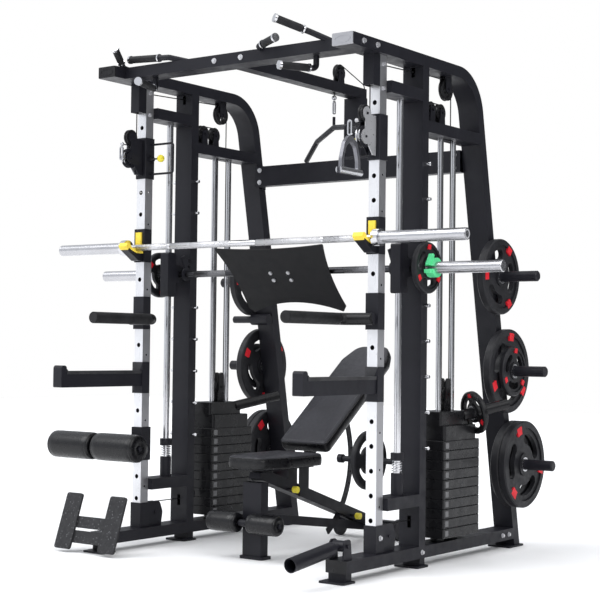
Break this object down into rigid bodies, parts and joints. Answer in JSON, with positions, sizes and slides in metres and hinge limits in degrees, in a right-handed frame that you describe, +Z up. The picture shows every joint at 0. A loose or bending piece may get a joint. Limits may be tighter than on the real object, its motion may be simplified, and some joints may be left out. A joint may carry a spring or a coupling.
{
  "type": "smith machine",
  "caption": "Smith machine with guided bar, cable weight stacks, adjustable pulleys, pull-up handles, plate horns, free barbell and adjustable bench.",
  "frame": {"origin": "middle of the overall box at floor level", "axes": "+X to the right as a user facing the rear sees it, +Y to the rear, +Z up"},
  "size_m": [2.2, 1.8472, 2.256],
  "materials": {
    "frame_black": "satin textured powder coat",
    "silver_steel": "bright silver powder coat",
    "chrome_rod": "polished chrome",
    "spring_steel": "zinc plated spring with black rubber stops",
    "bolt_steel": "zinc plated",
    "cable_steel": "nylon coated steel cable",
    "rubber_plate": "moulded rubber with coloured patches",
    "stack_steel": "gloss black cast plates",
    "cap_plastic": "moulded plastic",
    "grip_rubber": "ribbed rubber grip",
    "liner_yellow": "yellow plastic liner",
    "knob_yellow": "yellow knob on a steel pin",
    "vinyl_roll": "smooth black vinyl over foam",
    "vinyl_pad": "grained charcoal vinyl with black sides",
    "tread_rubber": "stippled tread on steel",
    "cast_handle": "cast aluminium and rubber",
    "pulley_nylon": "black nylon"
  },
  "bodies": {
    "frame": {"attachment_brackets": "frame_black", "base_rails": "frame_black", "buffer_springs": "spring_steel", "catch_pins": "chrome_rod", "center_beam": "frame_black", "columns": "frame_black", "crossbeams": "frame_black", "dip_handles": "grip_rubber", "end_caps": "cap_plastic", "foot_plate": "tread_rubber", "frame_bolts": "bolt_steel", "frame_cables": "cable_steel", "guide_rods": "chrome_rod", "handle_grips": "grip_rubber", "j_hook_liners": "liner_yellow", "j_hooks": "frame_black", "pull_up_handles": "frame_black", "pulley_brackets": "frame_black", "rail_feet": "frame_black", "side_arches": "frame_black", "side_braces": "frame_black", "spotter_arms": "frame_black", "stack_cable_l": "cable_steel", "stack_cable_r": "cable_steel", "stack_plates": "stack_steel", "storage_horns": "frame_black", "stored_plates": "rubber_plate", "trolley_cable_l": "cable_steel", "trolley_cable_r": "cable_steel", "upright_sockets": "frame_black", "uprights": "silver_steel"},
    "leg_roller_pair": {"leg_rollers": "vinyl_roll"},
    "landmine": {"landmine_tube": "frame_black"},
    "smith_carriage": {"smith_carriage": "frame_black"},
    "smith_bar": {"smith_bar": "frame_black", "smith_sleeves": "chrome_rod", "smith_weights": "rubber_plate"},
    "leg_press": {"leg_press_plate": "frame_black"},
    "barbell": {"barbell_shaft": "chrome_rod"},
    "barbell_sleeves": {"barbell_sleeves": "chrome_rod"},
    "stack_head_l": {"stack_head_l": "stack_steel"},
    "stack_head_r": {"stack_head_r": "stack_steel"},
    "arch_pulley_l": {"arch_pulley_l": "pulley_nylon"},
    "arch_pulley_r": {"arch_pulley_r": "pulley_nylon"},
    "brace_pulleys_rear": {"brace_pulleys_rear": "pulley_nylon"},
    "brace_pulleys_front": {"brace_pulleys_front": "pulley_nylon"},
    "low_pulleys": {"low_pulleys": "pulley_nylon"},
    "lat_pulley": {"lat_pulley": "pulley_nylon"},
    "trolley_l": {"trolley_l": "frame_black"},
    "trolley_r": {"trolley_r": "frame_black"},
    "trolley_pulley_l": {"trolley_pulley_l": "pulley_nylon"},
    "trolley_pulley_r": {"trolley_pulley_r": "pulley_nylon"},
    "pull_pin_l": {"pull_pin_l": "knob_yellow"},
    "pull_pin_r": {"pull_pin_r": "knob_yellow"},
    "lat_bar": {"lat_bar": "frame_black"},
    "stirrup": {"stirrup_handle": "cast_handle"},
    "bench": {"bench_frame": "frame_black", "bench_seat": "vinyl_pad"},
    "bench_back": {"bench_back": "vinyl_pad"},
    "bench_rollers": {"bench_rollers": "vinyl_roll"}
  },
  "joints": [
    {"name": "leg_roller_spin", "type": "hinge", "parent": "frame", "child": "leg_roller_pair", "pos_m": [-0.64, -0.4662, 0.453], "axis": [1, 0, 0], "continuous": true},
    {"name": "landmine_pivot", "type": "hinge", "parent": "frame", "child": "landmine", "pos_m": [0.64, -0.5932, 0.142], "axis": [1, 0, 0], "range_deg": [-75, 4]},
    {"name": "smith_travel", "type": "slide", "parent": "frame", "child": "smith_carriage", "axis": [0, 0, 1], "range_m": [-0.45, 0.5]},
    {"name": "smith_bar_turn", "type": "hinge", "parent": "smith_carriage", "child": "smith_bar", "pos_m": [0, -0.1222, 1.255], "axis": [1, 0, 0], "range_deg": [-78, 0]},
    {"name": "leg_press_tilt", "type": "hinge", "parent": "smith_bar", "child": "leg_press", "pos_m": [0, -0.1222, 1.255], "axis": [1, 0, 0], "range_deg": [-30, 30]},
    {"name": "barbell_lift", "type": "slide", "parent": "frame", "child": "barbell", "axis": [0, 0, 1], "range_m": [0, 0.2]},
    {"name": "barbell_sleeve_spin", "type": "hinge", "parent": "barbell", "child": "barbell_sleeves", "pos_m": [0, -0.4182, 1.3635], "axis": [1, 0, 0], "continuous": true},
    {"name": "stack_lift_l", "type": "slide", "parent": "frame", "child": "stack_head_l", "axis": [0, 0, 1], "range_m": [0, 0.8], "deforming": ["stack_cable_l"]},
    {"name": "arch_pulley_turn_l", "type": "hinge", "parent": "frame", "child": "arch_pulley_l", "pos_m": [-0.64, 0.1913, 2.058], "axis": [1, 0, 0], "continuous": true},
    {"name": "trolley_slide_l", "type": "slide", "parent": "frame", "child": "trolley_l", "axis": [0, 0, 1], "range_m": [-0.2, 0.05], "deforming": ["trolley_cable_l"]},
    {"name": "trolley_pulley_turn_l", "type": "hinge", "parent": "trolley_l", "child": "trolley_pulley_l", "pos_m": [-0.64, -0.4512, 1.865], "axis": [1, 0, 0], "continuous": true},
    {"name": "pull_pin_slide_l", "type": "slide", "parent": "trolley_l", "child": "pull_pin_l", "axis": [1, 0, 0], "range_m": [0, 0.012], "stiffness_N_per_m": 900},
    {"name": "stack_lift_r", "type": "slide", "parent": "frame", "child": "stack_head_r", "axis": [0, 0, 1], "range_m": [0, 0.8], "deforming": ["stack_cable_r"]},
    {"name": "arch_pulley_turn_r", "type": "hinge", "parent": "frame", "child": "arch_pulley_r", "pos_m": [0.64, 0.1913, 2.058], "axis": [1, 0, 0], "continuous": true},
    {"name": "trolley_slide_r", "type": "slide", "parent": "frame", "child": "trolley_r", "axis": [0, 0, 1], "range_m": [-0.2, 0.05], "deforming": ["trolley_cable_r"]},
    {"name": "trolley_pulley_turn_r", "type": "hinge", "parent": "trolley_r", "child": "trolley_pulley_r", "pos_m": [0.64, -0.4512, 1.865], "axis": [1, 0, 0], "continuous": true},
    {"name": "pull_pin_slide_r", "type": "slide", "parent": "trolley_r", "child": "pull_pin_r", "axis": [-1, 0, 0], "range_m": [0, 0.012], "stiffness_N_per_m": 900},
    {"name": "brace_rear_turn", "type": "hinge", "parent": "frame", "child": "brace_pulleys_rear", "pos_m": [0, 0.1405, 1.95], "axis": [1, 0, 0], "continuous": true},
    {"name": "brace_front_turn", "type": "hinge", "parent": "frame", "child": "brace_pulleys_front", "pos_m": [0, 0.0568, 1.95], "axis": [1, 0, 0], "continuous": true},
    {"name": "low_pulley_turn", "type": "hinge", "parent": "frame", "child": "low_pulleys", "pos_m": [0, -0.2682, 0.15], "axis": [1, 0, 0], "continuous": true},
    {"name": "lat_pulley_turn", "type": "hinge", "parent": "frame", "child": "lat_pulley", "pos_m": [0, 0.2888, 2.216], "axis": [1, 0, 0], "continuous": true},
    {"name": "lat_bar_swing", "type": "hinge", "parent": "frame", "child": "lat_bar", "pos_m": [0, 0.252, 2.092], "axis": [1, 0, 0], "range_deg": [-6, 6]},
    {"name": "stirrup_swing", "type": "hinge", "parent": "trolley_r", "child": "stirrup", "pos_m": [0.64, -0.5542, 1.822], "axis": [1, 0, 0], "range_deg": [-60, 3]},
    {"name": "bench_roll", "type": "slide", "parent": "frame", "child": "bench", "axis": [0, 1, 0], "range_m": [-0.7, 0]},
    {"name": "backrest_tilt", "type": "hinge", "parent": "bench", "child": "bench_back", "pos_m": [0, 0.0238, 0.4], "axis": [1, 0, 0], "range_deg": [-15, 35]},
    {"name": "bench_roller_spin", "type": "hinge", "parent": "bench", "child": "bench_rollers", "pos_m": [0, -0.3882, 0.16], "axis": [1, 0, 0], "continuous": true}
  ],
  "couplings": [
    {"joint": "arch_pulley_turn_l", "follows": "stack_lift_l", "rad_per_m": 44.64},
    {"joint": "trolley_pulley_turn_l", "follows": "stack_lift_l", "rad_per_m": 56.02},
    {"joint": "arch_pulley_turn_r", "follows": "stack_lift_r", "rad_per_m": 44.64},
    {"joint": "trolley_pulley_turn_r", "follows": "stack_lift_r", "rad_per_m": 56.02}
  ]
}
